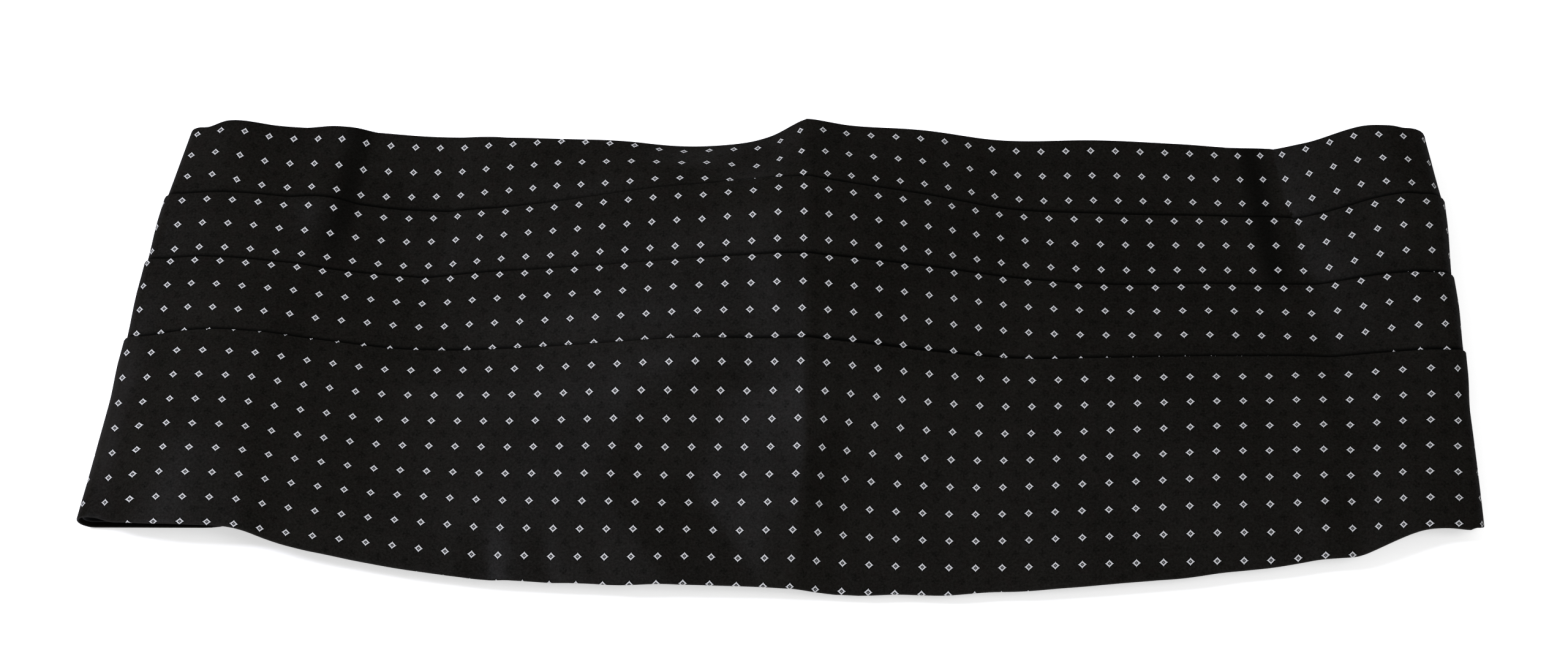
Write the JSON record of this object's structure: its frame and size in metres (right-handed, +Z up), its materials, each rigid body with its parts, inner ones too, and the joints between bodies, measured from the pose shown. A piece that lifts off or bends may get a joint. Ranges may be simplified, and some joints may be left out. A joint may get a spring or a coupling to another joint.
{
  "type": "pleated cummerbund",
  "caption": "Pleated waist sash closed into a loop and laid flat: upward pleats over a deeper lower fold, plain lining, tapered wings and straps joined at the back.",
  "frame": {"origin": "centre of the laid loop on the surface that it rests on", "axes": "+X along the loop to its right end, +Y from the hem towards the top edge, +Z up"},
  "size_m": [0.404, 0.1537, 0.03],
  "materials": {
    "face_cloth": "black silk twill with a small woven diamond pattern",
    "lining_cloth": "plain black lining twill",
    "strap_cloth": "black ribbed strap webbing",
    "clasp_plastic": "plain black plastic"
  },
  "bodies": {
    "root": {"band_wide": "face_cloth", "band_third": "face_cloth", "band_second": "face_cloth", "band_top": "face_cloth", "lining": "lining_cloth", "strap_left": "strap_cloth", "strap_right": "strap_cloth", "clasp": "clasp_plastic"}
  },
  "joints": []
}
